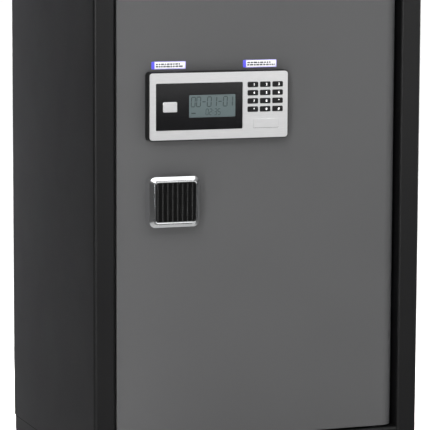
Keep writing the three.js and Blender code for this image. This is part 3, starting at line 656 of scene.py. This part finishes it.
def make_handle(materials):
    """A square chrome knob: upright sides, a wide crowned bevel, a fine groove and a lip round the insert."""
    low, high = HANDLE_LOW, HANDLE_HIGH
    width, height = high.x - low.x, high.z - low.z
    centre = (HANDLE_MIDDLE.x, HANDLE_MIDDLE.z)
    insert_low, insert_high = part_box("handle_insert")
    pocket = (width - (insert_high.x - insert_low.x)) / 2 / MM - 0.35
    # Millimetres of depth from the door, inset from the outer edge, and corner radius.
    profile = [
        (0, 0.5, 8.5),
        (0.5, 0, 9),
        (16.9, 0.2, 8.8),
        (17.6, 0.35, 8.6),
        (18.1, 0.7, 8.3),
        (18.3, 0.95, 8.1),
        (21.9, 5.0, 5.6),
        (20.7, 5.15, 5.5),
        (20.7, 6.0, 4.9),
        (23.3, 6.1, 4.9),
        (23.7, 6.3, 4.8),
        (23.8, 6.6, 4.6),
        (23.8, 7.15, 4.0),
        (23.6, pocket, 3.7),
        (20.3, pocket, 3.6),
    ]
    sections = [
        (high.y - depth * MM, width - 2 * inset * MM, height - 2 * inset * MM, radius * MM)
        for depth, inset, radius in profile
    ]
    body = piece("handle_body", *slab(centre, sections, 8), materials["chrome"], "handle", "chrome")
    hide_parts("handle_frame")
    for polygon in body.data.polygons:
        polygon.use_smooth = True
    creases = body.modifiers.new("creases", "EDGE_SPLIT")
    creases.split_angle = math.radians(38)


def make_handle_insert(small):
    """The grip: eight upright ribs, each cut into fine beads."""
    low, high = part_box("handle_insert")
    columns, rows = 8, 24
    per_column, per_row = 12, 6
    width, height = high.x - low.x, high.z - low.z
    radius = 3 * MM
    across, up = columns * per_column, rows * per_row
    base = low.y + 2.0 * MM

    def inside(x, z):
        """Whether a point lies inside the round corners."""
        dx = max(abs(x) - (width / 2 - radius), 0)
        dz = max(abs(z) - (height / 2 - radius), 0)
        return math.hypot(dx, dz) <= radius

    def depth(i, k):
        rib = max(0, 1 - abs((i % per_column) / per_column - 0.5) / 0.25)
        bead = 0.45 + 0.55 * abs(math.sin(math.pi * k / per_row))
        return base - 1.3 * MM * rib * bead

    vertices, index = [], {}
    for i in range(across + 1):
        for k in range(up + 1):
            x = width * (i / across - 0.5)
            z = height * (k / up - 0.5)
            index[i, k] = len(vertices)
            vertices.append((HANDLE_MIDDLE.x + x, depth(i, k), HANDLE_MIDDLE.z + z))
    faces = []
    for i in range(across):
        for k in range(up):
            x = width * ((i + 0.5) / across - 0.5)
            z = height * ((k + 0.5) / up - 0.5)
            if inside(x, z):
                faces.append((index[i, k], index[i + 1, k], index[i + 1, k + 1], index[i, k + 1]))
    grip = piece("handle_grip", vertices, faces, small["grip"], "handle", "black_plastic")
    solid = grip.modifiers.new("solid", "SOLIDIFY")
    solid.thickness = high.y - base - 0.1 * MM
    solid.offset = -1
    for polygon in grip.data.polygons:
        polygon.use_smooth = True
    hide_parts("handle_insert")


# ---------- Painted shadow strips ---


def band(low, high, width, corner, steps=4):
    """A flat ring with round corners, lying level between two corners of a box."""
    centre = ((low[0] + high[0]) / 2, (low[1] + high[1]) / 2)
    size = (high[0] - low[0], high[1] - low[1])
    rings = []
    for z, inset in ((low[2], width), (low[2], 0), (high[2], 0), (high[2], width), (low[2], width)):
        radius = max(corner - inset, LEAST_RADIUS)
        outline = rounded_outline(size[0] - 2 * inset, size[1] - 2 * inset, radius, steps)
        rings.append([(centre[0] + x, centre[1] + y, z) for x, y in outline])
    return loft(rings, open_ends=True)


def make_painted_shadow_strips(small):
    """Painted shadow: a black band in the seam between the plinth and the body, and a dark sheet showing at
    the right and bottom edges of the blank cover, both standing in for shade.
    """
    low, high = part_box("plinth_frame")
    inset = 0.6 * MM
    corners = (low.x - 1 * MM + inset, low.y - 1 * MM + inset, BODY_BOTTOM - 1.3 * MM)
    opposite = (high.x + 1 * MM - inset, high.y + 1 * MM - inset, BODY_BOTTOM + 0.5 * MM)
    # Painted shadow: a black band round the seam, where there is only a shadow gap between plinth and body.
    piece("plinth_painted_shadow_band", *band(corners, opposite, 2 * MM, 2 * MM), small["painted_shadow"], "cabinet")
    middle, size, _, _ = middle_of("override_cover")
    # Painted shadow: the dark sheet is shifted right and down, so it shows only along the cover's right and
    # bottom edges, where the cover's shadow falls.
    centre = (middle.x + 0.35 * MM, middle.z - 0.35 * MM)
    section = (size.x, size.z, 1.5 * MM)
    shadow_slab = slab(centre, [(PLATE_FRONT - FILM, *section), (PLATE_FRONT - 0.3 * MM, *section)])
    piece("cover_painted_shadow", *shadow_slab, small["painted_shadow"], "lock_cover")


# ---------- Door's inside ----------


def screw_parts(centre, direction, radius):
    """A pan head with a dimple. It stands on a face whose outward side is +Y or -Y."""
    x, y, z = centre
    return turned(
        [
            (0, radius),
            (direction * radius * 0.25, radius),
            (direction * radius * 0.5, radius * 0.8),
            (direction * radius * 0.6, radius * 0.45),
            (direction * radius * 0.35, radius * 0.18),
        ],
        centre,
        "Y",
        20,
    )


def make_cover_screws(materials):
    """Pan-head screws round the edge of the door's inner cover."""
    inset = 9 * MM
    columns = (COVER_LOW.x + inset, COVER_HIGH.x - inset)
    rows = 7
    cover_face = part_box("battery_cover")[0].y - 0.3 * MM
    parts = []
    for x in columns:
        for row in range(rows):
            z = COVER_LOW.z + inset + (COVER_HIGH.z - COVER_LOW.z - 2 * inset) * row / (rows - 1)
            parts.append(screw_parts((x, cover_face, z), 1, 3.6 * MM))
    piece("inner_cover_screws", *joined(parts), materials["bare_steel"], "door", "bare_steel")


def make_batteries(small, materials):
    """Four cells side by side in the battery box, every other one upside down."""
    low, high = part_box("battery_box")
    radius, length = 7 * MM, 50 * MM
    y = low.y + 2 * MM + radius + 0.4 * MM
    wraps, caps = [], []
    for cell in range(4):
        x = low.x + (high.x - low.x) * (cell + 0.5) / 4
        foot = (low.z + high.z) / 2 - length / 2
        up = cell % 2 == 0
        shoulder = (length - 1.2 * MM, radius * 0.9)
        body = [(0, radius * 0.9), (0.8 * MM, radius), (length - 2 * MM, radius), shoulder]
        tip = [(length - 1.2 * MM, 2.8 * MM), (length, 2.8 * MM), (length + 0.2 * MM, 2.2 * MM)]
        if not up:
            body = [(length - along, r) for along, r in reversed(body)]
            tip = [(length - along, r) for along, r in reversed(tip)]
        wraps.append(turned(body, (x, y, foot), "Z", 28))
        caps.append(turned(tip, (x, y, foot), "Z", 20))
    piece("battery_cells", *joined(wraps), small["wrap"], "door")
    piece("battery_tips", *joined(caps), materials["bare_steel"], "door", "bare_steel")


make_camera()
make_floor()
make_lights()
paints = make_materials()
details = make_small_materials()
dress_nodes(paints)
make_keys(paints, details)
make_display(paints, details)
make_enter_button(paints)
make_labels(details)
make_painted_shadow_strips(details)
make_handle(paints)
make_handle_insert(details)
make_cover_screws(paints)
make_batteries(details, paints)
